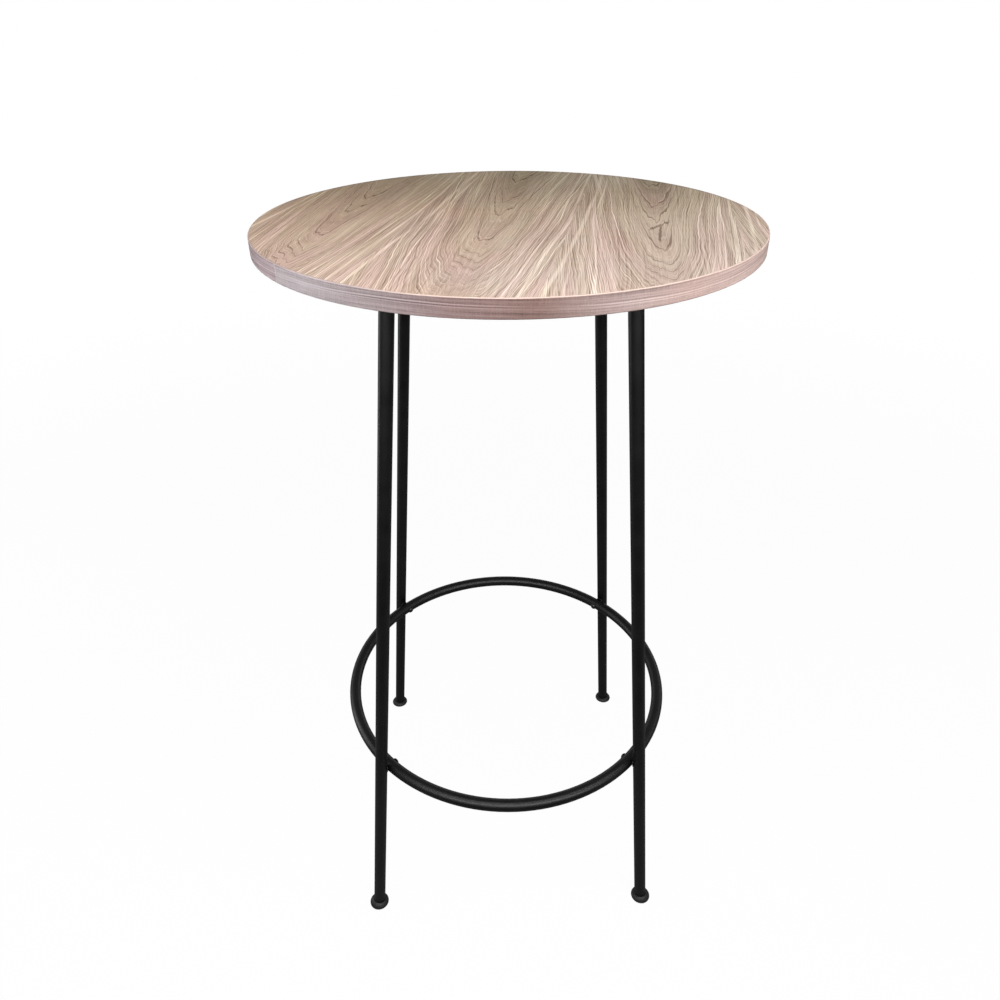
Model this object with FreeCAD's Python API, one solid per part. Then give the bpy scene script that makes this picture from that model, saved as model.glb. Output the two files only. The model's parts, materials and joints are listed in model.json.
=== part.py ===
import FreeCAD, Part
import math
import os

from FreeCAD import Placement, Rotation, Vector

# A round bar table on four splayed tube legs that a footrest ring ties together.
# Millimetres, +Z up, the origin on the floor under the middle of the top.
# The front of the table faces -Y.

# Whole table
overall_height = 1050.0
top_diameter = 600.0

# Round top: a board with a sheet on each face and a band round its edge
core_thickness = 18.0
face_thickness = 1.0
backing_thickness = 1.0
band_thickness = 1.5
band_corner_radius = 1.0
band_glue_line = 0.05
band_seam_gap = 0.3
band_seam_azimuth = 217.6

# Legs: straight tubes, closer together at the top than at the floor
leg_corners = ("back_right", "back_left", "front_left", "front_right")
leg_first_azimuth = 45.0
leg_top_radius = 187.0
leg_foot_radius = 305.0
leg_tube_diameter = 18.0
leg_tube_wall = 1.5

# Round plate on the top end of each leg, and the weld that joins the two
plate_diameter = 64.0
plate_thickness = 3.0
plate_edge_chamfer = 0.5
plate_hole_clearance = 0.2
weld_size = 3.0
weld_clearance = 0.05

# Pan-head wood screws that hold each plate under the board
plate_screw_count = 4
screw_shank_diameter = 4.0
screw_length = 16.0
screw_tip_length = 3.0
screw_tip_diameter = 0.8
screw_head_diameter = 8.0
screw_head_rim = 0.8
screw_head_height = 2.6
screw_cross_length = 4.4
screw_cross_width = 0.9
screw_cross_depth = 1.3
screw_hole_clearance = 0.05

# Footrest ring: a tube bent to a circle and closed on itself
ring_height = 294.0
ring_tube_diameter = 18.0
ring_tube_wall = 1.5

# Button-head bolts that go through the ring into each leg
bolt_diameter = 6.0
bolt_head_diameter = 10.5
bolt_head_rim = 0.6
bolt_head_height = 3.3
bolt_socket_sides = 6
bolt_socket_width = 4.0
bolt_socket_depth = 2.0
bolt_hole_clearance = 0.2
bolt_seat_clearance = 0.02

# Rivet nuts set in the legs, whose curved flanges hold the ring off the tube
nut_flange_diameter = 12.0
nut_flange_thickness = 1.0
nut_body_diameter = 9.0
nut_body_length = 12.0
nut_bulge_diameter = 10.8
nut_bulge_length = 3.0
nut_wall_clearance = 0.03
nut_thread_clearance = 0.02

# Glides in the lower ends of the legs, with soles parallel to the floor
glide_rim_diameter = 30.0
glide_rim_thickness = 2.0
glide_rim_chamfer = 0.6
glide_rim_lift = 2.5
glide_pad_diameter = 16.0
glide_collar_height = 9.5
glide_collar_lip = 0.6
glide_sole_shares = ((0.0, 0.0), (0.6, 0.3), (1.0, 1.0))
glide_dome_shares = ((0.0, 0.0), (0.4, 0.16), (0.75, 0.46), (1.0, 1.0))
glide_stem_length = 24.0
glide_stem_clearance = 0.4
glide_stem_chamfer = 1.5
glide_barb_count = 3
glide_barb_spacing = 5.0
glide_barb_height = 2.0
glide_barb_clearance = 0.03

# Cuts run this far past the faces that they open
overrun = 5.0

# Directions and whole turns
ORIGIN = Vector(0, 0, 0)
UP = Vector(0, 0, 1)
FULL_TURN = 360.0

# Sizes of the top and of the tubes that follow from the ones above
core_radius = top_diameter / 2 - band_thickness - band_glue_line
core_top = overall_height - face_thickness
core_underside = core_top - core_thickness
top_underside = core_underside - backing_thickness
plate_underside = top_underside - plate_thickness
leg_radius = leg_tube_diameter / 2
leg_bore_radius = leg_radius - leg_tube_wall
ring_tube_radius = ring_tube_diameter / 2

# Directions of a leg that stands over +X: up its axis, and square to it outwards
leg_splay = math.atan2(leg_foot_radius - leg_top_radius, top_underside)
leg_up = Vector(-math.sin(leg_splay), 0, math.cos(leg_splay))
leg_out = Vector(math.cos(leg_splay), 0, math.sin(leg_splay))


def leg_point(height):
    """The point on a leg's axis at a height above the floor."""
    return Vector(leg_foot_radius - height * math.tan(leg_splay), 0, height)


# The ring is as large as lets its tube lie against the four nut flanges
ring_to_leg = ring_tube_radius + nut_flange_thickness + leg_radius
joint_on_leg = leg_point(ring_height + ring_to_leg * leg_out.z)
ring_section = joint_on_leg - leg_out * ring_to_leg

# Where the ends of a leg meet its plate and its glide
plate_centre = leg_point(plate_underside)
collar_centre = leg_point(glide_collar_height)

# Each leg's place round the table
leg_azimuths = {
    corner: leg_first_azimuth + FULL_TURN * index / len(leg_corners)
    for index, corner in enumerate(leg_corners)
}


def rod(radius, start, direction, length):
    """A solid cylinder from a point along a direction."""
    return Part.makeCylinder(radius, length, start, direction)


def disc(radius, bottom, top):
    """A round sheet about the table's axis."""
    return rod(radius, UP * bottom, UP, top - bottom)


def turned(edges, start, direction):
    """A solid turned from an outline in the XZ plane, stood on an axis."""
    solid = Part.Face(Part.Wire(edges)).revolve(ORIGIN, UP, FULL_TURN)
    solid.Placement = Placement(start, Rotation(UP, direction))
    return solid


def straight_edges(points):
    """The sides of a closed outline of (radius, distance) points."""
    corners = [Vector(radius, 0, distance) for radius, distance in points]
    return [Part.makeLine(start, end) for start, end in zip(corners, corners[1:] + corners[:1])]


def dome_arc(rim, flat):
    """An arc from a rim to a flat that it meets without a crease."""
    run = rim.x - flat.x
    rise = rim.z - flat.z
    radius = (run * run + rise * rise) / (2 * abs(rise))
    sag = radius - math.sqrt(radius * radius - run * run / 4)
    middle = Vector(flat.x + run / 2, 0, flat.z + math.copysign(sag, rise))
    return Part.Arc(rim, middle, flat).toShape()


def at_leg(shape, azimuth):
    """A copy of a shape made over +X, turned round the table to a leg."""
    copy = shape.copy()
    copy.rotate(ORIGIN, UP, azimuth)
    return copy


def screw_places():
    """Centres of one plate's screws on the plate's underside."""
    weld_edge = leg_radius + weld_size
    circle = (weld_edge + plate_diameter / 2) / 2
    places = []
    for index in range(plate_screw_count):
        angle = math.radians(FULL_TURN * (index + 1 / 2) / plate_screw_count)
        places.append(plate_centre + Vector(math.cos(angle), math.sin(angle), 0) * circle)
    return places


def screw_shank(place, growth):
    """A wood screw's shank and point, or with growth the hole for them."""
    radius = screw_shank_diameter / 2 + growth
    tip_radius = screw_tip_diameter / 2 + growth
    tip = screw_length + growth
    outline = [(0, 0), (radius, 0), (radius, screw_length - screw_tip_length), (tip_radius, tip), (0, tip)]
    return turned(straight_edges(outline), place, UP)


def drilled_for_screws(sheet):
    """A board or sheet with holes for the screws of all the plates."""
    holes = []
    for place in screw_places():
        hole = screw_shank(place, screw_hole_clearance)
        holes.extend(at_leg(hole, azimuth) for azimuth in leg_azimuths.values())
    return sheet.cut(holes)


def button_head(radius, rim, height, seat, direction):
    """A domed screw head whose flat face lies on a seat."""
    edge = Vector(radius, 0, -rim)
    crown = Vector(0, 0, -height)
    edges = [
        Part.makeLine(ORIGIN, Vector(radius, 0, 0)),
        Part.makeLine(Vector(radius, 0, 0), edge),
        dome_arc(edge, crown),
        Part.makeLine(crown, ORIGIN),
    ]
    return turned(edges, seat, direction)


def tabletop_core():
    return drilled_for_screws(disc(core_radius, core_underside, core_top))


def tabletop_veneer():
    return disc(core_radius, core_top, overall_height)


def tabletop_backing():
    return drilled_for_screws(disc(core_radius, top_underside, core_underside))


def edge_band():
    """A strip round the board, with rounded outer corners and a butt joint."""
    outer = top_diameter / 2
    inner = outer - band_thickness
    round_start = outer - band_corner_radius
    corner_sag = band_corner_radius * (1 - math.sqrt(1 / 2))
    low_corner = top_underside + band_corner_radius
    high_corner = overall_height - band_corner_radius
    low_flat = Vector(round_start, 0, top_underside)
    low_side = Vector(outer, 0, low_corner)
    low_middle = Vector(outer - corner_sag, 0, top_underside + corner_sag)
    high_side = Vector(outer, 0, high_corner)
    high_flat = Vector(round_start, 0, overall_height)
    high_middle = Vector(outer - corner_sag, 0, overall_height - corner_sag)
    inner_low = Vector(inner, 0, top_underside)
    inner_high = Vector(inner, 0, overall_height)
    edges = [
        Part.makeLine(inner_low, low_flat),
        Part.Arc(low_flat, low_middle, low_side).toShape(),
        Part.makeLine(low_side, high_side),
        Part.Arc(high_side, high_middle, high_flat).toShape(),
        Part.makeLine(high_flat, inner_high),
        Part.makeLine(inner_high, inner_low),
    ]
    seam_angle = math.degrees(band_seam_gap / outer)
    band = Part.Face(Part.Wire(edges)).revolve(ORIGIN, UP, FULL_TURN - seam_angle)
    band.rotate(ORIGIN, UP, band_seam_azimuth + seam_angle / 2)
    return band


def leg():
    """A tube cut level at the top and square at the foot, with a hole for its rivet nut."""
    length = (plate_centre - collar_centre).Length + leg_tube_diameter
    tube = rod(leg_radius, collar_centre, leg_up, length)
    bore = rod(leg_bore_radius, collar_centre - leg_up * overrun, leg_up, length + overrun * 2)
    above = rod(leg_tube_diameter, plate_centre, UP, leg_tube_diameter * 2)
    nut_hole = rod(nut_body_diameter / 2 + nut_wall_clearance, joint_on_leg, -leg_out, leg_tube_diameter)
    return tube.cut([bore, above, nut_hole])


def leg_plate():
    """A round plate with screw holes, and the weld bead round the tube."""
    plate = rod(plate_diameter / 2, plate_centre, UP, plate_thickness)
    rims = [edge for edge in plate.Edges if edge.Closed]
    plate = plate.makeChamfer(plate_edge_chamfer, rims)
    hole_radius = screw_shank_diameter / 2 + plate_hole_clearance
    hole_length = plate_thickness + overrun * 2
    plate = plate.cut([rod(hole_radius, place - UP * overrun, UP, hole_length) for place in screw_places()])
    weld_foot = plate_centre - leg_up * weld_size
    weld_reach = weld_size + plate_thickness
    weld = Part.makeCone(leg_radius, leg_radius + weld_reach, weld_reach, weld_foot, leg_up)
    weld = weld.common(rod(plate_diameter / 2, plate_centre, -UP, weld_reach))
    tube_space = rod(leg_radius + weld_clearance, weld_foot - leg_up * overrun, leg_up, weld_reach + overrun * 2)
    return plate.fuse(weld.cut(tube_space)).removeSplitter()


def plate_screw(place):
    """A pan-head wood screw with a cross recess."""
    head = button_head(screw_head_diameter / 2, screw_head_rim, screw_head_height, place, UP)
    recess = []
    for length, width in (
        (screw_cross_length, screw_cross_width),
        (screw_cross_width, screw_cross_length),
    ):
        slot = Part.makeBox(length, width, screw_cross_depth + overrun)
        slot.translate(place - Vector(length / 2, width / 2, screw_head_height + overrun))
        recess.append(slot)
    return head.cut(recess).fuse(screw_shank(place, 0)).removeSplitter()


def plate_screws():
    return Part.makeCompound([plate_screw(place) for place in screw_places()])


def footrest_ring():
    """A closed ring of tube, drilled right through at each leg."""
    centre = UP * ring_height
    ring = Part.makeTorus(ring_section.x, ring_tube_radius, centre, UP)
    bore = Part.makeTorus(ring_section.x, ring_tube_radius - ring_tube_wall, centre, UP)
    start = ring_section - leg_out * ring_tube_diameter
    hole = rod(bolt_diameter / 2 + bolt_hole_clearance, start, leg_out, ring_tube_diameter * 2)
    return ring.cut([bore] + [at_leg(hole, azimuth) for azimuth in leg_azimuths.values()])


def ring_bolt():
    """A button-head bolt with a hexagon socket, its head on the inner side of the ring."""
    seat = ring_section - leg_out * (ring_tube_radius + bolt_seat_clearance)
    head = button_head(bolt_head_diameter / 2, bolt_head_rim, bolt_head_height, seat, leg_out)
    corner_radius = bolt_socket_width / 2 / math.cos(math.pi / bolt_socket_sides)
    mouth = []
    for index in range(bolt_socket_sides):
        angle = math.radians(FULL_TURN * index / bolt_socket_sides)
        mouth.append(Vector(math.cos(angle), math.sin(angle), 0) * corner_radius)
    socket = Part.Face(Part.makePolygon(mouth + mouth[:1])).extrude(UP * (bolt_socket_depth + overrun))
    bottom = seat - leg_out * (bolt_head_height + overrun)
    socket.Placement = Placement(bottom, Rotation(UP, leg_out))
    nut_end = ring_section + leg_out * (ring_tube_radius + nut_body_length)
    shank = rod(bolt_diameter / 2, seat, leg_out, (nut_end - seat).Length)
    return head.cut(socket).fuse(shank).removeSplitter()


def rivet_nut():
    """A set rivet nut: curved flange outside the tube, bulge inside it."""
    face = ring_section + leg_out * ring_tube_radius
    along = leg_tube_diameter * 2
    start = joint_on_leg - leg_up * leg_tube_diameter
    tube_outside = rod(leg_radius + nut_wall_clearance, start, leg_up, along)
    tube_inside = rod(leg_bore_radius - nut_wall_clearance, start, leg_up, along)
    flange_outside = rod(leg_radius + nut_flange_thickness - bolt_seat_clearance, start, leg_up, along)
    flange = rod(nut_flange_diameter / 2, face, leg_out, ring_to_leg - ring_tube_radius).cut(tube_outside)
    body = rod(nut_body_diameter / 2, face, leg_out, nut_body_length)
    bulge_depth = nut_flange_thickness + leg_tube_wall + nut_bulge_length
    bulge = rod(nut_bulge_diameter / 2, face, leg_out, bulge_depth).common(tube_inside)
    bore_radius = bolt_diameter / 2 + nut_thread_clearance
    bore = rod(bore_radius, face - leg_out * overrun, leg_out, nut_body_length + overrun * 2)
    return flange.fuse(body).common(flange_outside).fuse(bulge).cut(bore).removeSplitter()


def glide_base():
    """The sole, its flat pad and the chamfered rim of a glide."""
    rim_radius = glide_rim_diameter / 2
    sole_radius = rim_radius - glide_rim_chamfer
    pad_radius = glide_pad_diameter / 2
    rim_top = glide_rim_lift + glide_rim_thickness
    outline = [(0, 0)]
    for run_share, rise_share in glide_sole_shares:
        outline.append((pad_radius + (sole_radius - pad_radius) * run_share, glide_rim_lift * rise_share))
    outline += [
        (rim_radius, glide_rim_lift + glide_rim_chamfer),
        (rim_radius, rim_top - glide_rim_chamfer),
        (sole_radius, rim_top),
        (0, rim_top),
    ]
    return turned(straight_edges(outline), leg_point(0), UP)


def glide_dome():
    """The part of a glide that leans over from its level rim to the square end of the tube."""
    low_centre = leg_point(0) + UP * (glide_rim_lift + glide_rim_thickness)
    low_radius = glide_rim_diameter / 2 - glide_rim_chamfer
    high_radius = leg_radius + glide_collar_lip
    sections = []
    for height_share, narrowing_share in glide_dome_shares:
        centre = low_centre + (collar_centre - low_centre) * height_share
        radius = low_radius + (high_radius - low_radius) * narrowing_share
        normal = UP + (leg_up - UP) * height_share
        sections.append(Part.Wire(Part.makeCircle(radius, centre, normal)))
    return Part.makeLoft(sections, True, True)


def glide_stem():
    """The stem that grips inside the tube, with rings of barbs."""
    root = glide_collar_height / 2
    radius = leg_bore_radius - glide_stem_clearance
    barb_radius = leg_bore_radius - glide_barb_clearance
    outline = [(0, 0), (radius, 0)]
    for index in range(glide_barb_count):
        base = root + glide_barb_spacing * (index + 1 / 2)
        outline += [(radius, base), (barb_radius, base), (radius, base + glide_barb_height)]
    end = root + glide_stem_length
    outline += [(radius, end - glide_stem_chamfer), (radius - glide_stem_chamfer, end), (0, end)]
    return turned(straight_edges(outline), collar_centre - leg_up * root, leg_up)


def foot_glide():
    return glide_base().fuse([glide_dome(), glide_stem()]).removeSplitter()


def export(shape, name):
    if not shape.isValid():
        raise ValueError(name + " is not a valid solid")
    shape.exportStep("parts/" + name + ".step")
    print(name, len(shape.Solids), "solid(s)", round(shape.Volume), "mm3")


def build():
    single_pieces = {
        "tabletop_core": tabletop_core,
        "tabletop_veneer": tabletop_veneer,
        "tabletop_backing": tabletop_backing,
        "edge_band": edge_band,
        "footrest_ring": footrest_ring,
    }
    leg_pieces = {
        "leg": leg,
        "leg_plate": leg_plate,
        "plate_screws": plate_screws,
        "ring_bolt": ring_bolt,
        "rivet_nut": rivet_nut,
        "foot_glide": foot_glide,
    }
    for name, make in single_pieces.items():
        export(make(), name)
    for name, make in leg_pieces.items():
        shape = make()
        for corner, azimuth in leg_azimuths.items():
            export(at_leg(shape, azimuth), name + "_" + corner)


os.makedirs("parts", exist_ok=True)
build()
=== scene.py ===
import json
import math

import bmesh
import bpy
from mathutils import Matrix, Vector


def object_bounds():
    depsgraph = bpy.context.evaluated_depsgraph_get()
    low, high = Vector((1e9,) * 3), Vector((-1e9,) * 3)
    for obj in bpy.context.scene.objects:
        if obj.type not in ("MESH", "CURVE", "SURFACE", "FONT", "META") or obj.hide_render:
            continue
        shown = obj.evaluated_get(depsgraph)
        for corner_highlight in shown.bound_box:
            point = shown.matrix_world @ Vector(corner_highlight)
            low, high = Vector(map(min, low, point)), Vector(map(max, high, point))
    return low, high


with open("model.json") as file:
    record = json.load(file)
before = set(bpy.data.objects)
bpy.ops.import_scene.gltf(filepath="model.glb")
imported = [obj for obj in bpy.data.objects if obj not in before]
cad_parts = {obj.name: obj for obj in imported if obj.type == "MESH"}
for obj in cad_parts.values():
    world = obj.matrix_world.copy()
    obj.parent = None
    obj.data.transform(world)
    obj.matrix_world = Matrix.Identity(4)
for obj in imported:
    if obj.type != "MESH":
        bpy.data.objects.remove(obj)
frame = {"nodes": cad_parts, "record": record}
cad_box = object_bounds()

# The materials count in millimetres, and the scene in metres
MM = 0.001
top_radius = cad_box[1][0] / MM
table_height = cad_box[1][2] / MM

# Steps from the screen's scale of colours to the renderer's own
screen_levels = 255
screen_dark_share = 0.04045
screen_dark_slope = 12.92
screen_offset = 0.055
screen_power = 2.4

# The renderer's noise lies about this level and is stretched to run from -1 to 1
noise_middle = 0.5
noise_stretch = 3.0


def srgb(red, green, blue):
    """A colour given as it looks on a screen, from 0 to 255, in the renderer's own scale."""
    linear = []
    for level in (red, green, blue):
        share = level / screen_levels
        if share <= screen_dark_share:
            linear.append(share / screen_dark_slope)
        else:
            linear.append(((share + screen_offset) / (1 + screen_offset)) ** screen_power)
    return (*linear, 1.0)


def grey(level):
    """A grey that throws back this share of the light."""
    return (level, level, level, 1.0)


class Signal:
    """A number that varies over a surface: a node's output that can be added, scaled and so on."""

    def __init__(self, graph, socket):
        self.graph = graph
        self.socket = socket

    def __add__(self, other):
        return self.graph.math("ADD", self, other)

    def __radd__(self, other):
        return self.graph.math("ADD", other, self)

    def __sub__(self, other):
        return self.graph.math("SUBTRACT", self, other)

    def __rsub__(self, other):
        return self.graph.math("SUBTRACT", other, self)

    def __mul__(self, other):
        return self.graph.math("MULTIPLY", self, other)

    def __truediv__(self, other):
        return self.graph.math("DIVIDE", self, other)

    def __abs__(self):
        return self.graph.math("ABSOLUTE", self)

    def floor(self):
        return self.graph.math("FLOOR", self)

    def root(self):
        return self.graph.math("SQRT", self)

    def rise(self, low, high):
        """0 below low and 1 above high, with a smooth step between."""
        node = self.graph.add("ShaderNodeMapRange")
        node.interpolation_type = "SMOOTHSTEP"
        self.graph.feed(self, node.inputs["Value"])
        node.inputs["From Min"].default_value = low
        node.inputs["From Max"].default_value = high
        return Signal(self.graph, node.outputs["Result"])

    def fall(self, low, high):
        """1 below low and 0 above high, with a smooth step between."""
        return 1.0 - self.rise(low, high)


class Graph:
    """The nodes of one material or of the world, made with short calls."""

    def __init__(self, owner, output_kind="ShaderNodeOutputMaterial"):
        owner.use_nodes = True
        self.owner = owner
        self.tree = owner.node_tree
        self.tree.nodes.clear()
        self.output = self.add(output_kind)

    def add(self, kind):
        return self.tree.nodes.new(kind)

    def feed(self, value, socket):
        """Puts a signal, a node's output, a number or a colour into a socket."""
        if isinstance(value, Signal):
            value = value.socket
        if isinstance(value, bpy.types.NodeSocket):
            self.tree.links.new(value, socket)
        else:
            socket.default_value = value

    def math(self, operation, *values):
        node = self.add("ShaderNodeMath")
        node.operation = operation
        for value, socket in zip(values, node.inputs):
            self.feed(value, socket)
        return Signal(self, node.outputs["Value"])

    def point(self, *values):
        """A point put together from its X, Y and Z."""
        node = self.add("ShaderNodeCombineXYZ")
        for value, axis in zip(values, "XYZ"):
            self.feed(value, node.inputs[axis])
        return node.outputs["Vector"]

    def parts(self, point):
        """A point's X, Y and Z, or a colour's red, green and blue."""
        node = self.add("ShaderNodeSeparateXYZ")
        self.feed(point, node.inputs["Vector"])
        return [Signal(self, node.outputs[axis]) for axis in "XYZ"]

    def coordinates(self, kind):
        return self.parts(self.add("ShaderNodeTexCoord").outputs[kind])

    def place(self):
        """Where a point lies in the table's frame, in millimetres along X, Y and Z."""
        return [part / MM for part in self.coordinates("Object")]

    def seen_by(self, *kinds):
        """1 for the named kinds of ray, and 0 for every other."""
        path = self.add("ShaderNodeLightPath")
        share = 0.0
        for kind in kinds:
            share = Signal(self, path.outputs["Is " + kind + " Ray"]) + share
        return share

    def noise(self, x, y=0.0, z=0.0, detail=0.0):
        """Soft random hills, mostly from -1 to 1, one unit of x, y or z apart."""
        node = self.add("ShaderNodeTexNoise")
        self.feed(self.point(x, y, z), node.inputs["Vector"])
        node.inputs["Scale"].default_value = 1.0
        node.inputs["Detail"].default_value = detail
        return (Signal(self, node.outputs["Fac"]) - noise_middle) * noise_stretch

    def grain(self, first, second, sizes, change=0.0, detail=0.0):
        """Noise with its own size along each of two ways. A change leads on to other hills."""
        return self.noise(first / sizes[0], second / sizes[1], change, detail=detail)

    def speckle(self, place, size, detail=0.0):
        """Noise with the same size every way."""
        return self.noise(*[part / size for part in place], detail=detail)

    def blend(self, share, first, second, kind="MIX"):
        """One colour where share is 0, the other where it is 1, or the two combined in another way."""
        node = self.add("ShaderNodeMix")
        node.data_type = "RGBA"
        node.blend_type = kind
        self.feed(share, node.inputs["Factor"])
        colours = [socket for socket in node.inputs if socket.type == "RGBA"]
        self.feed(first, colours[0])
        self.feed(second, colours[1])
        return next(socket for socket in node.outputs if socket.type == "RGBA")

    def tinted(self, colour, tint):
        """A colour as it looks through a tint, where white leaves it as it is."""
        return self.blend(1.0, colour, tint, "MULTIPLY")

    def ramp(self, value, stops):
        """A colour picked by a number, from (number, colour) stops in rising order."""
        node = self.add("ShaderNodeValToRGB")
        elements = node.color_ramp.elements
        while len(elements) < len(stops):
            elements.new(1.0)
        for element, (position, colour) in zip(elements, stops):
            element.position = position
            element.color = colour
        self.feed(value, node.inputs["Fac"])
        return node.outputs["Color"]

    def either(self, share, first, second):
        """One shader where share is 0, and the other where it is 1."""
        node = self.add("ShaderNodeMixShader")
        self.feed(share, node.inputs["Fac"])
        self.feed(first, node.inputs[1])
        self.feed(second, node.inputs[2])
        return node.outputs["Shader"]

    def surface(self, colour, roughness, specular, metallic=0.0, height=None, relief=0.0):
        """The finished material, with an optional fine relief in millimetres."""
        shader = self.add("ShaderNodeBsdfPrincipled")
        self.feed(colour, shader.inputs["Base Color"])
        self.feed(roughness, shader.inputs["Roughness"])
        shader.inputs["Specular IOR Level"].default_value = specular
        shader.inputs["Metallic"].default_value = metallic
        if height is not None:
            bump = self.add("ShaderNodeBump")
            bump.inputs["Distance"].default_value = relief * MM
            self.feed(height, bump.inputs["Height"])
            self.feed(bump.outputs["Normal"], shader.inputs["Normal"])
        self.feed(shader.outputs["BSDF"], self.output.inputs["Surface"])
        return self.owner


def new_material(name):
    return Graph(bpy.data.materials.new(name))


# The walnut sheet on the top lies in leaves side by side, each much like the one before it
leaf_lean = math.radians(12.0)
leaf_width = 187.0
leaf_first_joint = -295.0
leaf_change = 0.35
leaf_patch_change = 1.3
leaf_wander_change = 0.7
wander_length = 170.0
wander_reach = 2.5

# The heart of the figure in each leaf, and how lines lean outwards on both sides of it
heart_middle = 97.0
heart_drift = 0.045
heart_reach = 40.0
heart_fan = 0.035
heart_swing = 0.023
jitter_sizes = (12.0, 24.0)
jitter_reach = 0.9

# The zig-zag of wavy fibres, which moves the figure along the trunk
swell_sizes = (13.0, 150.0)
swell_reach = 12.0
zigzag_sizes = (5.0, 100.0)
zigzag_reach = 2.8

# The log's own heart lies this deep under the sheet, and comes up towards the back
heart_depth = 26.0
heart_taper = 0.06
heart_blend = 60.0
heart_back_from = 50.0
heart_back_taper = 0.02
heart_steep_from = -130.0
heart_steep_taper = 0.14
steep_fade_band = (18.0, 60.0)
steep_fade_share = 0.6
ripple_sizes = (5.5, 110.0)
ripple_reach = 1.25
ripple_steep_gain = 0.006
ripple_fade_band = (12.0, 45.0)
ripple_fade_share = 0.8
# Each ring is a curve that is rounder where it lies deeper
tip_share = 0.35
tip_least = 8.0
tip_slant_share = 0.03

# How near a point lies to the heart of its leaf, and where the flanks begin
near_band = (5.0, 26.0)
near_widening = 0.010
flank_band = (12.0, 34.0)

# Year rings: each ends in a thin dark line, and the next starts pale
year_pitch = 2.1
year_shift_sizes = (9.0, 500.0)
year_shift = 0.9
year_step = 2.7
year_length = 160.0
year_weight_band = (-0.7, 1.0)
late_band = (0.1, 1.2)
late_depth = 0.20
late_near_relief = 0.06
early_band = (0.15, 1.2)
early_gain = 0.11
# Rings that stand out in the heart, by how far they lie from the log's own heart
strong_rings = (10.3, 20.8, 26.1, 33.7, 41.7, 46.2, 51.0, 55.0, 59.8)
strong_ring_band = (0.2, 1.15)
strong_ring_depth = 0.25
strong_ring_relief = 0.0009

# Pale streaks along the flanks
pale_sizes = (1.3, 700.0)
pale_band = (0.35, 0.75)
pale_gain = 0.25
# Pale streaks beside each joint: place and reach, and how far they lean on the front half
joint_streaks = ((184.0, 2.6, 0.055), (15.0, 3.4, 0.05), (24.0, 1.6, -0.08), (172.0, 1.5, 0.06))
joint_streak_band = (0.2, 1.0)
joint_streak_length = 110.0
joint_streak_weight_band = (-1.1, 0.4)

# A short dark fleck along the heart of one leaf, with a bent line across its upper end
fleck_leaf = 2
fleck_leaf_band = (0.2, 0.8)
fleck_place = 101.0
fleck_low = -94.0
fleck_low_fade = 20.0
fleck_high = -14.0
fleck_high_fade = 6.0
fleck_reach = 2.1
fleck_band = (0.3, 1.0)
fleck_wave_length = 16.0
fleck_wave_seed = 5.0
fleck_wave_reach = 0.9
cross_slope = 1.7
cross_reach = 8.0
cross_wave_length = 4.0
cross_wave_seed = 9.0
cross_wave_reach = 6.0
cross_span = 13.0
cross_span_band = (0.6, 1.0)
cross_offset = 1.0
fleck_depth = 0.26

# Fibres along the trunk, which run on through the figure, with pores and soft patches
broad_sizes = (13.0, 480.0)
broad_gain = 0.03
medium_sizes = (3.2, 200.0)
medium_gain = 0.05
fine_sizes = (1.3, 200.0)
fine_gain = 0.035
fine_flank_gain = 0.07
hair_sizes = (0.7, 100.0)
hair_gain = 0.05
patch_sizes = (45.0, 120.0)
patch_gain = 0.045
pore_sizes = (0.8, 22.0)
pore_band = (0.20, 0.70)
pore_depth = 0.07
# A soft shade to the right of the heart on the back half
shade_side = 12.0
shade_side_band = (2.0, 26.0)
shade_along_band = (30.0, 130.0)
shade_depth = 0.035

# Colours of the sheet, from its darkest tone to its palest
face_tone = 0.51
face_contrast = 1.1
face_middle = 0.5
face_colours = (
    (0.0, srgb(96, 78, 69)),
    (0.3, srgb(148, 129, 119)),
    (0.5, srgb(191, 172, 162)),
    (0.75, srgb(226, 209, 200)),
    (1.0, srgb(252, 241, 233)),
)
# Broad streaks along the rings, from rosy to greenish
streak_sizes = (15.0, 220.0)
streak_band = (-1.0, 1.0)
streak_tints = (srgb(255, 248, 247), srgb(252, 252, 243))
# Rosier on the left of each leaf and at its heart
rosy_begin_band = (5.0, 35.0)
rosy_end_band = (70.0, 140.0)
rosy_strength = 0.45
rosy_tint = srgb(255, 251, 252)
# Yellower to the left and greyer to the right, in soft patches, and a little darker to the left, which
# is painted shade
sideways_length = 150.0
sideways_band = (-1.5, 1.5)
sideways_tints_and_shade = (srgb(249, 245, 241), srgb(245, 248, 248))
cloud_sizes = (70.0, 90.0)
cloud_seed = 4.0
cloud_gain = 1.3
# Painted shade: darker and greener towards the back, where the lamps light the top less, by the share of
# the top's depth that lies in front
painted_back_shade_tints = (
    (0.1, srgb(255, 255, 255)),
    (0.4, srgb(254, 253, 248)),
    (0.58, srgb(243, 241, 231)),
    (0.75, srgb(228, 228, 215)),
    (0.92, srgb(219, 223, 209)),
)
# Painted shade: a thin dark line along the back of the rim, where it faces away from the lamps
rim_inset = 4.5
rim_full_inset = 2.0
back_rim_shade_band = (20.0, 160.0)
back_rim_shade_strength = 0.6
back_rim_shade_colour = srgb(88, 90, 80)


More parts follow.
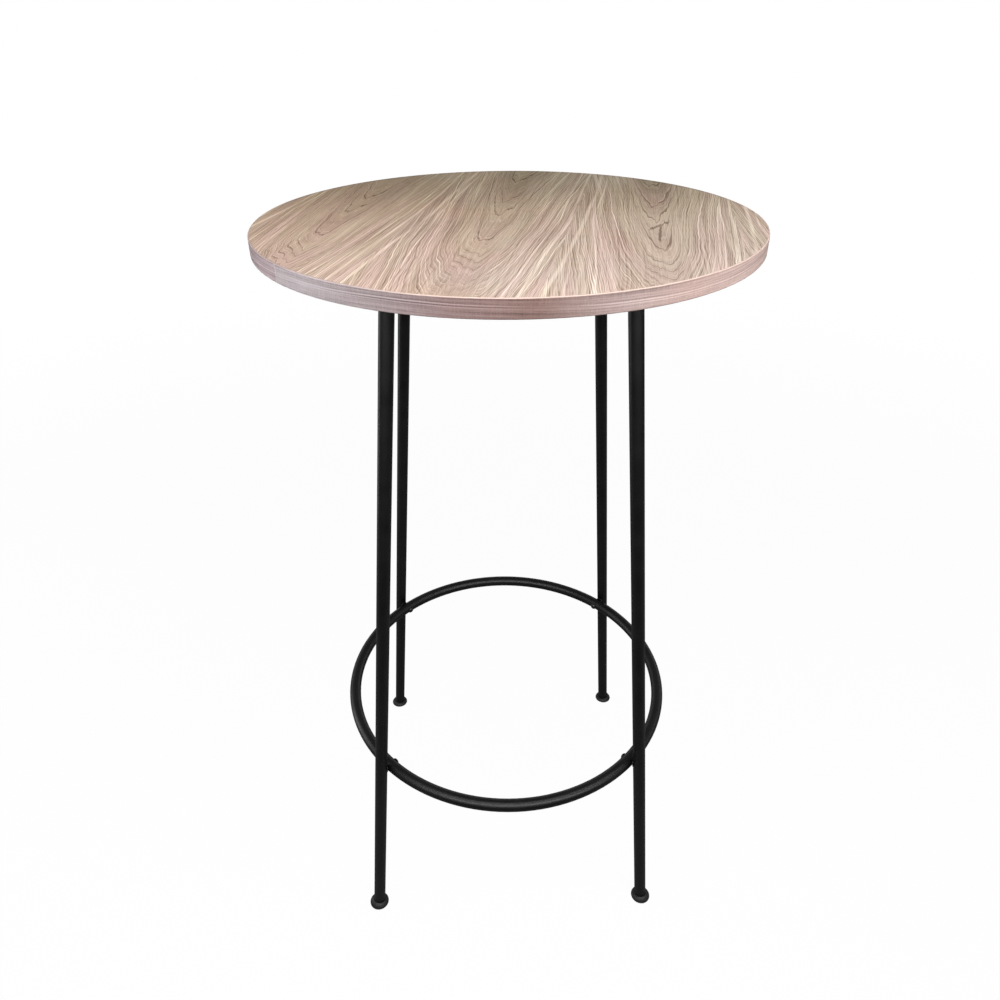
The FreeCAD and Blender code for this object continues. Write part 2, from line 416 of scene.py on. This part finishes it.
class Cut:
    """Where each point of the walnut sheet lies in its leaf, and in the log that the leaf came from."""

    def __init__(self, graph):
        self.graph = graph
        self.x, self.y = graph.place()[:2]
        across = self.x * math.cos(leaf_lean) - self.y * math.sin(leaf_lean)
        self.along = self.x * math.sin(leaf_lean) + self.y * math.cos(leaf_lean)
        self.leaf = ((across - leaf_first_joint) / leaf_width).floor()
        self.in_leaf = across - leaf_first_joint - self.leaf * leaf_width
        self.drift = self.leaf * leaf_change
        wander = graph.noise(self.along / wander_length, self.leaf * leaf_wander_change)
        self.wander = wander * wander_reach
        self.side = self.find_side()
        self.find_ring()
        self.near = (abs(self.side) / (1.0 + self.steep * near_widening)).fall(*near_band)
        self.flank = abs(self.side).rise(*flank_band)

    def find_side(self):
        """How far a line lies from the heart of its leaf."""
        jitter = self.graph.grain(self.in_leaf, self.along, jitter_sizes, self.drift, detail=1.5)
        straight_side = self.in_leaf - heart_middle + self.along * heart_drift + self.wander
        outwards = self.graph.math("TANH", straight_side / heart_reach)
        lean = outwards * heart_fan + outwards * outwards * heart_swing
        return straight_side - self.along * lean + jitter * jitter_reach

    def find_ring(self):
        """Sets the log's ring at a point, how fast it changes sideways, and how deep the front dives."""
        graph = self.graph
        side = self.side
        swell = graph.grain(self.in_leaf, self.along, swell_sizes, self.drift)
        zigzag = graph.grain(self.in_leaf, self.along, zigzag_sizes, self.drift, detail=0.5)
        waved = self.along + swell * swell_reach + zigzag * zigzag_reach
        self.steep = graph.math("SMOOTH_MAX", 0.0, heart_steep_from - waved, heart_blend)
        back = graph.math("SMOOTH_MAX", 0.0, waved - heart_back_from, heart_blend)
        steep_share = 1.0 - abs(side).rise(*steep_fade_band) * steep_fade_share
        ripple = graph.grain(self.in_leaf, self.along, ripple_sizes, self.drift, detail=1.0)
        ripple = ripple * (ripple_reach + self.steep * ripple_steep_gain)
        ripple = ripple * (1.0 - abs(side).rise(*ripple_fade_band) * ripple_fade_share)
        depth = heart_depth - waved * heart_taper - back * heart_back_taper + ripple
        depth = depth + self.steep * steep_share * heart_steep_taper
        tip = depth * tip_share + tip_least
        turned = (side * side + tip * tip).root()
        self.ring = depth + turned - tip
        self.slant = (side * side + tip * tip * tip_slant_share).root() / turned


def year_rings(graph, cut):
    """How much the year rings lighten or darken the sheet."""
    shift = graph.grain(cut.ring, cut.along, year_shift_sizes, cut.drift) * year_shift
    years = cut.ring / year_pitch + shift
    growth = graph.math("FRACT", years)
    weight = graph.noise(years.floor() * year_step, cut.along / year_length, cut.drift)
    before_end = (1.0 - growth) * year_pitch / cut.slant
    after_start = growth * year_pitch / cut.slant
    late = before_end.fall(*late_band) * weight.rise(*year_weight_band)
    early = after_start.fall(*early_band)
    tone = early * early_gain - late * (late_depth - cut.near * late_near_relief)
    for strong_ring in strong_rings:
        gap = abs(cut.ring - strong_ring) / cut.slant
        depth = strong_ring_depth - cut.steep * strong_ring_relief
        tone = tone - gap.fall(*strong_ring_band) * cut.near * depth
    return tone


def pale_streaks(graph, cut):
    """1 in the pale streaks along the flanks and beside each joint."""
    pale = graph.grain(cut.ring, cut.along, pale_sizes, cut.drift).rise(*pale_band) * cut.flank
    front_half = graph.math("MINIMUM", cut.along, 0.0)
    for place, reach, lean in joint_streaks:
        off_streak = abs(cut.in_leaf - place - front_half * lean + cut.wander)
        streak = (off_streak / reach).fall(*joint_streak_band)
        weight = graph.noise(cut.along / joint_streak_length, cut.leaf, place)
        pale = pale + streak * weight.rise(*joint_streak_weight_band)
    return graph.math("MINIMUM", pale, 1.0)


def fleck(graph, cut):
    """1 on the fleck and on the bent line across it."""
    from_middle = cut.in_leaf - fleck_place
    wave = graph.noise(cut.along / fleck_wave_length, fleck_wave_seed) * fleck_wave_reach
    stem = (abs(from_middle + wave) / fleck_reach).fall(*fleck_band)
    stem = stem * cut.along.rise(fleck_low, fleck_low + fleck_low_fade)
    stem = stem * cut.along.fall(fleck_high - fleck_high_fade, fleck_high)
    cross_wave = graph.noise(cut.in_leaf / cross_wave_length, cross_wave_seed) * cross_wave_reach
    off_cross = abs(cut.along - fleck_high - from_middle * cross_slope + cross_wave)
    cross = (off_cross / cross_reach).fall(*fleck_band)
    cross = cross * (abs(from_middle + cross_offset) / cross_span).fall(*cross_span_band)
    in_fleck_leaf = abs(cut.leaf - fleck_leaf).fall(*fleck_leaf_band)
    return graph.math("MAXIMUM", stem, cross) * in_fleck_leaf


def fibres(graph, cut):
    """How much the fibres and soft patches lighten or darken the sheet."""
    broad = graph.grain(cut.ring, cut.along, broad_sizes, cut.drift) * broad_gain
    medium = graph.grain(cut.ring, cut.along, medium_sizes, cut.drift) * medium_gain
    fine = graph.grain(cut.side, cut.along, fine_sizes, cut.drift)
    fine = fine * (cut.flank * fine_flank_gain + fine_gain)
    hair = graph.grain(cut.side, cut.along, hair_sizes, cut.drift) * hair_gain
    patches = graph.grain(cut.in_leaf, cut.along, patch_sizes, cut.leaf * leaf_patch_change, detail=1.0)
    shade = abs(cut.side - shade_side).fall(*shade_side_band) * cut.along.rise(*shade_along_band)
    return broad + medium + fine + hair + patches * patch_gain - shade * shade_depth


def face_colour(graph, cut, tone):
    """The sheet's colour for a tone, with the soft tints that lie over the whole top, painted shade
    towards the back and a painted shade line along the back of the rim.
    """
    colour = graph.ramp((tone - face_middle) * face_contrast + face_middle, face_colours)
    streak = graph.grain(cut.ring, cut.along, streak_sizes, cut.drift).rise(*streak_band)
    colour = graph.tinted(colour, graph.blend(streak, *streak_tints))
    left_side = cut.in_leaf.rise(*rosy_begin_band) * cut.in_leaf.fall(*rosy_end_band)
    rosy = graph.math("MAXIMUM", left_side, cut.near) * rosy_strength
    colour = graph.blend(rosy, colour, graph.tinted(colour, rosy_tint))
    # Yellower or greyer by side, with painted shade to the left
    cloud = graph.grain(cut.x, cut.y, cloud_sizes, cloud_seed, detail=1.0) * cloud_gain
    to_right = (cut.x / sideways_length + cloud).rise(*sideways_band)
    colour = graph.tinted(colour, graph.blend(to_right, *sideways_tints_and_shade))
    # Painted shade, darker towards the back of the top
    front_share = (cut.y + top_radius) / (2 * top_radius)
    colour = graph.tinted(colour, graph.ramp(front_share, painted_back_shade_tints))
    # A painted shade line along the back of the rim
    from_axis = (cut.x * cut.x + cut.y * cut.y).root()
    back_rim_shade = from_axis.rise(top_radius - rim_inset, top_radius - rim_full_inset)
    back_rim_shade = back_rim_shade * cut.y.rise(*back_rim_shade_band)
    return graph.blend(back_rim_shade * back_rim_shade_strength, colour, back_rim_shade_colour)


def walnut_face():
    """The sheet on the top: slip-matched leaves with pointed figure, pale streaks and fine pores."""
    graph = new_material("walnut_face")
    cut = Cut(graph)
    pores = graph.grain(cut.side, cut.along, pore_sizes, cut.leaf).rise(*pore_band)
    tone = face_tone + year_rings(graph, cut) - fleck(graph, cut) * fleck_depth + fibres(graph, cut)
    tone = tone + pale_streaks(graph, cut) * pale_gain - pores * pore_depth
    colour = face_colour(graph, cut, tone)
    return graph.surface(colour, roughness=0.8, specular=0.02, height=pores, relief=-0.05)


# The strip round the edge, measured along it from its butt joint and up from its lower edge
seam_turn = math.radians(217.6)
strip_length = 2 * math.pi * top_radius
strip_height = 20.0
strip_bottom = table_height - strip_height

# The grain sways up and down along the strip
sway_peak_share = 0.082
sway_length_share = 0.32
sway_reach = 2.6
strip_wave_length = 60.0
strip_wave_reach = 0.4

# Fibres of the strip, with short flecks and fine upright marks
strip_tone = 0.45
strip_broad_sizes = (260.0, 3.5)
strip_broad_gain = 0.09
strip_medium_sizes = (110.0, 1.3)
strip_medium_gain = 0.13
strip_fine_sizes = (22.0, 0.5)
strip_fine_gain = 0.12
strip_fleck_sizes = (1.6, 0.8)
strip_fleck_gain = 0.11
strip_hatch_sizes = (1.3, 12.0)
strip_hatch_gain = 0.045

# Thin pale lines side by side, that come and go, with dark ones beside them: level, strength and reach
strip_lines = ((8.8, 0.26, 0.9), (10.0, -0.14, 0.9), (11.2, 0.34, 0.9), (12.6, -0.10, 1.2))
strip_line_band = (0.2, 1.0)
strip_line_length = 120.0
strip_line_seed = 3.0
strip_line_weight_band = (-1.2, 0.3)
strip_line_middle_share = 0.165
strip_line_fade_shares = (0.05, 0.15)
strip_line_fade = 0.5

# Darker just under the upper corner, painted shade along the lower edge, and pale on the corner itself,
# partly the strip's paler top edge and partly a painted highlight
under_corner_inset = 1.7
under_corner_reach = 0.8
under_corner_band = (0.2, 1.0)
under_corner_depth = 0.12
lower_edge_shade_band = (0.2, 1.4)
lower_edge_shade_depth = 0.16
corner_inset = 1.0
corner_full_inset = 0.4
corner_highlight_strength = 0.8
# The corner's colours near the butt joint and far from it, partly the strip's paler top edge and partly
# a painted highlight
corner_seam_band = (60.0, 230.0)
corner_and_highlight_colours = (srgb(160, 143, 139), srgb(206, 184, 172))

# The butt joint, a thin pale line
seam_reach = 1.2
seam_band = (0.4, 1.0)
seam_strength = 0.35
seam_colour = srgb(214, 206, 208)

# Shades of the strip from dark to pale, and its hues along the way round, by share of its length. The
# hues are partly the strip's own colour and partly painted light and shade
strip_shades = (
    (0.0, srgb(100, 92, 90)),
    (0.45, srgb(200, 194, 192)),
    (1.0, srgb(255, 255, 255)),
)
strip_hues_and_painted_light = (
    (0.0, srgb(214, 207, 212)),
    (0.028, srgb(208, 202, 207)),
    (0.069, srgb(180, 170, 173)),
    (0.111, srgb(161, 141, 140)),
    (0.153, srgb(147, 123, 117)),
    (0.194, srgb(190, 173, 170)),
    (0.236, srgb(218, 195, 188)),
    (0.278, srgb(236, 214, 207)),
    (0.34, srgb(232, 210, 203)),
    (0.62, srgb(190, 170, 165)),
    (1.0, srgb(214, 200, 206)),
)


def walnut_edge():
    """The strip round the edge: grain along it, a pair of pale lines, a pale corner above that is partly
    a painted highlight, and painted shade along the lower edge.
    """
    graph = new_material("walnut_edge")
    x, y, z = graph.place()
    turn = (graph.math("ARCTAN2", y, x) - seam_turn) / (2 * math.pi)
    share = turn - turn.floor()
    run = share * strip_length
    from_seam = abs(graph.math("WRAP", run, strip_length / 2, -strip_length / 2))
    height = z - strip_bottom
    sway = graph.math("COSINE", (share - sway_peak_share) * (2 * math.pi / sway_length_share))
    level = height - sway * sway_reach + graph.noise(run / strip_wave_length) * strip_wave_reach
    fine = graph.grain(run, level, strip_fine_sizes, detail=1.0)
    tone = strip_tone + graph.grain(run, level, strip_broad_sizes) * strip_broad_gain
    tone = tone + graph.grain(run, level, strip_medium_sizes) * strip_medium_gain
    tone = tone + fine * strip_fine_gain
    tone = tone + graph.grain(run, level, strip_fleck_sizes, detail=1.0) * strip_fleck_gain
    tone = tone + graph.grain(run, height, strip_hatch_sizes) * strip_hatch_gain
    weight = graph.noise(run / strip_line_length, strip_line_seed).rise(*strip_line_weight_band)
    off_middle = abs(share - strip_line_middle_share).rise(*strip_line_fade_shares)
    weight = weight * (1.0 - off_middle * strip_line_fade)
    for line_level, gain, reach in strip_lines:
        tone = tone + (abs(level - line_level) / reach).fall(*strip_line_band) * weight * gain
    off_dark = abs(height - (strip_height - under_corner_inset)) / under_corner_reach
    tone = tone - off_dark.fall(*under_corner_band) * under_corner_depth
    # Painted shade along the lower edge of the strip
    tone = tone - height.fall(*lower_edge_shade_band) * lower_edge_shade_depth
    # The hues along the way round carry painted light and shade as well as the strip's own colour
    colour = graph.tinted(graph.ramp(tone, strip_shades), graph.ramp(share, strip_hues_and_painted_light))
    seam = (from_seam / seam_reach).fall(*seam_band)
    colour = graph.blend(seam * seam_strength, colour, seam_colour)
    # The pale corner: partly the strip's paler top edge, partly a painted highlight
    corner_highlight = height.rise(strip_height - corner_inset, strip_height - corner_full_inset)
    corner_highlight_colour = graph.blend(from_seam.rise(*corner_seam_band), *corner_and_highlight_colours)
    colour = graph.blend(corner_highlight * corner_highlight_strength, colour, corner_highlight_colour)
    return graph.surface(colour, roughness=0.6, specular=0.05, height=fine, relief=0.02)


# The board's chips lie flat, and fine dust is pressed in with them
chip_length = 3.0
chip_thickness = 1.0
chip_gain = 0.7
dust_size = 0.5
dust_gain = 0.12
dust_relief_share = 0.3
board_tone = 0.15
board_colours = (
    (0.0, srgb(146, 114, 78)),
    (0.5, srgb(196, 166, 126)),
    (1.0, srgb(226, 204, 168)),
)


def particle_board():
    """Pressed chips, each a little lighter or darker than the next."""
    graph = new_material("board")
    x, y, z = graph.place()
    chips = graph.add("ShaderNodeTexVoronoi")
    flat_place = graph.point(x / chip_length, y / chip_length, z / chip_thickness)
    graph.feed(flat_place, chips.inputs["Vector"])
    chip = graph.parts(chips.outputs["Color"])[0]
    dust = graph.speckle((x, y, z), dust_size, detail=1.0)
    colour = graph.ramp(chip * chip_gain + dust * dust_gain + board_tone, board_colours)
    height = chip + dust * dust_relief_share
    return graph.surface(colour, roughness=0.85, specular=0.15, height=height, relief=0.12)


# The sheet under the top has a faint straight grain from front to back
backing_tone = 0.5
backing_grain_sizes = (1.2, 160.0)
backing_grain_gain = 0.14
backing_broad_sizes = (16.0, 420.0)
backing_broad_gain = 0.12
backing_pore_sizes = (0.5, 9.0)
backing_pore_band = (0.3, 0.8)
backing_pore_depth = 0.16
backing_colours = (
    (0.0, srgb(98, 78, 62)),
    (0.5, srgb(148, 124, 103)),
    (1.0, srgb(190, 166, 142)),
)


def backing_sheet():
    """The plain matt sheet under the top."""
    graph = new_material("backing")
    x, y = graph.place()[:2]
    tone = backing_tone + graph.grain(x, y, backing_grain_sizes, detail=2.0) * backing_grain_gain
    tone = tone + graph.grain(x, y, backing_broad_sizes) * backing_broad_gain
    pores = graph.grain(x, y, backing_pore_sizes).rise(*backing_pore_band)
    colour = graph.ramp(tone - pores * backing_pore_depth, backing_colours)
    return graph.surface(colour, roughness=0.7, specular=0.2, height=pores, relief=-0.04)


# The coat on the legs, their plates and the footrest ring
coat_peel_size = 0.9
coat_cloud_size = 30.0
coat_cloud_band = (-1.0, 1.0)
coat_colours = (srgb(7, 7, 7), srgb(12, 12, 12))
coat_roughness = 0.40
coat_roughness_change = 0.03


def powder_coat():
    """Satin black, with the fine orange peel of a baked coat."""
    graph = new_material("black_powder_coat")
    place = graph.place()
    peel = graph.speckle(place, coat_peel_size, detail=1.0)
    cloud = graph.speckle(place, coat_cloud_size, detail=1.0)
    colour = graph.blend(cloud.rise(*coat_cloud_band), *coat_colours)
    roughness = coat_roughness + cloud * coat_roughness_change
    return graph.surface(colour, roughness, specular=0.36, height=peel, relief=0.02)


# The bolts and rivet nuts that hold the footrest ring
bolt_rub_size = 1.6
bolt_rub_band = (0.2, 1.2)
bolt_colours = (srgb(14, 14, 14), srgb(38, 38, 38))
bolt_roughness = 0.34
bolt_roughness_change = 0.06


def black_bolt():
    """Black-finished steel, a little smoother than the tubes, rubbed grey in places."""
    graph = new_material("black_bolt")
    rub = graph.speckle(graph.place(), bolt_rub_size, detail=2.0)
    colour = graph.blend(rub.rise(*bolt_rub_band), *bolt_colours)
    roughness = bolt_roughness + rub * bolt_roughness_change
    return graph.surface(colour, roughness, specular=0.6, height=rub, relief=0.01)


# The wood screws under the top
zinc_patch_size = 2.5
zinc_patch_band = (-1.0, 1.0)
zinc_mark_pitch = 0.12
zinc_mark_length = 3.0
zinc_colours = (srgb(176, 178, 180), srgb(202, 200, 190))
zinc_roughness = 0.32
zinc_roughness_change = 0.05


def zinc_steel():
    """Bright zinc plate, with the soft patches of the bath and fine turning marks."""
    graph = new_material("zinc_steel")
    x, y, z = graph.place()
    patches = graph.speckle((x, y, z), zinc_patch_size, detail=1.0)
    marks = graph.noise(z / zinc_mark_pitch, x / zinc_mark_length, y / zinc_mark_length)
    colour = graph.blend(patches.rise(*zinc_patch_band), *zinc_colours)
    roughness = zinc_roughness + patches * zinc_roughness_change
    return graph.surface(colour, roughness, specular=0.5, metallic=1.0, height=marks, relief=0.01)


# The glides are scuffed towards the floor
plastic_grain_size = 0.4
scuff_length = 1.1
scuff_height = 0.5
scuff_band = (0.3, 1.2)
scuff_end_band = (1.0, 4.0)
plastic_colours = (srgb(20, 20, 20), srgb(58, 57, 55))
plastic_roughness = 0.5
scuff_roughness = 0.2


def black_plastic():
    """Moulded polyethylene with a fine spark-eroded grain."""
    graph = new_material("black_plastic")
    x, y, z = graph.place()
    grain = graph.speckle((x, y, z), plastic_grain_size, detail=1.0)
    scuffs = graph.noise(x / scuff_length, y / scuff_length, z / scuff_height, detail=2.0)
    scuffs = scuffs.rise(*scuff_band) * z.fall(*scuff_end_band)
    colour = graph.blend(scuffs, *plastic_colours)
    roughness = plastic_roughness + scuffs * scuff_roughness
    return graph.surface(colour, roughness, specular=0.4, height=grain, relief=0.03)


# The photograph's camera: where it stands, how it is turned, and its frame in pixels
camera_place = Vector((-0.038040, -0.956380, 1.267851))
camera_yaw = math.radians(0.7357)
camera_pitch = math.radians(31.375)
camera_roll = math.radians(-0.641)
frame_pixels = 1000.0
focal_pixels = 779.786
centre_pixel_x = 488.20
centre_pixel_y = 478.74
sensor_width = 36.0


def make_camera():
    level = math.cos(camera_pitch)
    forward = Vector(
        (math.sin(camera_yaw) * level, math.cos(camera_yaw) * level, -math.sin(camera_pitch))
    )
    right = Vector((math.cos(camera_yaw), -math.sin(camera_yaw), 0))
    above = right.cross(forward)
    rolled_right = right * math.cos(camera_roll) + above * math.sin(camera_roll)
    rolled_above = above * math.cos(camera_roll) - right * math.sin(camera_roll)
    data = bpy.data.cameras.new("camera")
    data.sensor_width = sensor_width
    data.lens = sensor_width * focal_pixels / frame_pixels
    data.shift_x = (frame_pixels / 2 - centre_pixel_x) / frame_pixels
    data.shift_y = (centre_pixel_y - frame_pixels / 2) / frame_pixels
    camera = bpy.data.objects.new("camera", data)
    turned = Matrix((rolled_right, rolled_above, -forward)).transposed().to_4x4()
    camera.matrix_world = Matrix.Translation(camera_place) @ turned
    bpy.context.scene.collection.objects.link(camera)
    bpy.context.scene.camera = camera


# White paper lies under and behind the table, and a darker room in front of it, out of the frame.
# The paper is white to the camera alone: little of the lamps' light comes back from it
floor_reach = 30.0
paper_front_band = (-800.0, -450.0)
paper_side_band = (1300.0, 2000.0)
far_band = (900.0, 3500.0)
room_colour = grey(0.04)
paper_colour = grey(0.18)
paper_camera_colour = grey(0.8)
paper_white_share = 0.96


def floor_material():
    """White to the camera but for a faint shadow, and see-through from below."""
    graph = new_material("floor")
    x, y = graph.place()[:2]
    paper = y.rise(*paper_front_band) * abs(x).fall(*paper_side_band)
    far = (x * x + y * y).root().rise(*far_band)
    camera_ray = graph.seen_by("Camera")
    matt = graph.add("ShaderNodeBsdfDiffuse")
    colour = graph.blend(paper, room_colour, paper_colour)
    graph.feed(graph.blend(camera_ray, colour, paper_camera_colour), matt.inputs["Color"])
    to_camera = camera_ray * (far * (1.0 - paper_white_share) + paper_white_share)
    to_gloss = graph.seen_by("Glossy", "Transmission") * paper * far
    white_share = graph.math("MAXIMUM", to_camera, to_gloss)
    white = graph.add("ShaderNodeEmission").outputs["Emission"]
    upper_side = graph.either(white_share, matt.outputs["BSDF"], white)
    from_below = graph.add("ShaderNodeNewGeometry").outputs["Backfacing"]
    clear = graph.add("ShaderNodeBsdfTransparent").outputs["BSDF"]
    graph.feed(graph.either(from_below, upper_side, clear), graph.output.inputs["Surface"])
    return graph.owner


def make_floor():
    mesh = bpy.data.meshes.new("floor")
    shape = bmesh.new()
    bmesh.ops.create_grid(shape, x_segments=1, y_segments=1, size=floor_reach)
    shape.to_mesh(mesh)
    shape.free()
    mesh.materials.append(floor_material())
    floor = bpy.data.objects.new("floor", mesh)
    bpy.context.scene.collection.objects.link(floor)


def make_lamp(name, place, target, width, height, power):
    data = bpy.data.lights.new(name, "AREA")
    data.shape = "RECTANGLE"
    data.size = width
    data.size_y = height
    data.energy = power
    lamp = bpy.data.objects.new(name, data)
    lamp.location = place
    aim = Vector(target) - Vector(place)
    lamp.rotation_mode = "QUATERNION"
    lamp.rotation_quaternion = aim.to_track_quat("-Z", "Y")
    bpy.context.scene.collection.objects.link(lamp)


# The world's light, and where metal and glass see white: low down behind the table
world_strength = 0.2
world_behind_band = (-0.7, -0.2)
world_low_band = (0.1, 0.45)


def make_world():
    """White to the camera, white in part to metal and glass, and dim elsewhere."""
    world = bpy.data.worlds.new("world")
    graph = Graph(world, "ShaderNodeOutputWorld")
    y, z = graph.coordinates("Generated")[1:]
    behind = y.rise(*world_behind_band) * z.fall(*world_low_band)
    to_gloss = graph.seen_by("Glossy", "Transmission") * behind
    white = graph.math("MAXIMUM", graph.seen_by("Camera"), to_gloss)
    glow = graph.add("ShaderNodeBackground")
    graph.feed(white * (1.0 - world_strength) + world_strength, glow.inputs["Strength"])
    graph.feed(grey(1.0), glow.inputs["Color"])
    graph.feed(glow.outputs["Background"], graph.output.inputs["Surface"])
    bpy.context.scene.world = world


materials = {
    "walnut_face": walnut_face(),
    "walnut_edge": walnut_edge(),
    "board": particle_board(),
    "backing": backing_sheet(),
    "black_powder_coat": powder_coat(),
    "black_bolt": black_bolt(),
    "zinc_steel": zinc_steel(),
    "black_plastic": black_plastic(),
}
for subpart in frame["record"]["subparts"]:
    node = frame["nodes"][subpart["node"]]
    node.data.materials.clear()
    node.data.materials.append(materials[subpart["material_slot"]])

make_camera()
make_floor()
make_lamp("over", place=(0.05, -0.6, 1.8), target=(0, -0.2, 1.0), width=3.2, height=0.2, power=14.6)
make_lamp("front", place=(0.08, -1.4, 1.4), target=(0, 0, 0.9), width=3.4, height=0.4, power=42.0)
make_lamp("left", place=(-1.8, 0.35, 0.7), target=(0, 0, 0.6), width=0.45, height=1.8, power=9.0)
make_world()
bpy.context.scene.view_settings.view_transform = "Standard"
